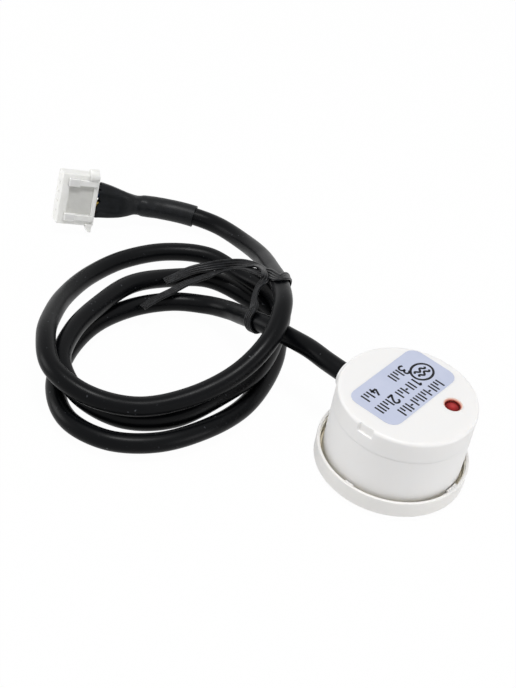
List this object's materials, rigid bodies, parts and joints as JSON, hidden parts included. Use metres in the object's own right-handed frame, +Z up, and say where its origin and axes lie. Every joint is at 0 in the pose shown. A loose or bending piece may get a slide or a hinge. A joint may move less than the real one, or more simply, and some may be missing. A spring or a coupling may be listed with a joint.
{
  "type": "liquid level sensor",
  "caption": "Round contactless liquid level sensor in a twist-on mounting ring, with a coiled black cable held by a tie and a small white crimp plug.",
  "frame": {"origin": "centre of the sensing face, which lies on the surface", "axes": "+Z up out of the sensing face through the head, cable leaves along -X"},
  "size_m": [0.1054, 0.0678, 0.0176],
  "materials": {
    "case_plastic": "semi-gloss white moulded plastic",
    "ring_plastic": "semi-gloss white moulded plastic",
    "label_film": "pale blue printed film",
    "lens": "clear dark red epoxy",
    "laminate": "green solder mask",
    "copper": "tinned copper foil",
    "spring_steel": "drawn wire",
    "chip_plastic": "black moulding compound",
    "ceramic": "tan ceramic",
    "resistor_film": "black film on ceramic",
    "jacket": "satin black PVC",
    "shrink_tube": "matt black shrink tube",
    "core_brown": "satin brown insulation",
    "core_yellow": "satin yellow insulation",
    "core_blue": "satin blue insulation",
    "core_black": "satin black insulation",
    "nylon": "natural white nylon",
    "tinned_brass": "tinned",
    "tie_plastic": "satin black ribbed plastic"
  },
  "bodies": {
    "sensor_head": {"case_shell": "case_plastic", "top_cover": "case_plastic", "label": "label_film", "indicator_led": "lens", "circuit_board": "laminate", "sensing_electrode": "copper", "contact_spring": "spring_steel", "sensing_chip": "chip_plastic", "voltage_regulator": "chip_plastic", "output_transistor": "chip_plastic", "capacitor_1": "ceramic", "capacitor_2": "ceramic", "resistor_1": "resistor_film", "resistor_2": "resistor_film", "resistor_3": "resistor_film", "board_core_1": "core_brown", "board_core_2": "core_yellow", "board_core_3": "core_blue", "board_core_4": "core_black", "cable": "jacket", "heat_shrink_sleeve": "shrink_tube", "plug_wire_1": "core_brown", "plug_wire_2": "core_yellow", "plug_wire_3": "core_blue", "plug_wire_4": "core_black", "connector_housing": "nylon", "crimp_terminal_1": "tinned_brass", "crimp_terminal_2": "tinned_brass", "crimp_terminal_3": "tinned_brass", "crimp_terminal_4": "tinned_brass", "twist_tie": "tie_plastic"},
    "mounting_ring": {"mounting_ring": "ring_plastic"}
  },
  "joints": [
    {"name": "ring_twist", "type": "hinge", "parent": "sensor_head", "child": "mounting_ring", "pos_m": [0, 0, 0], "axis": [0, 0, 1], "range_deg": [0, 30]}
  ]
}
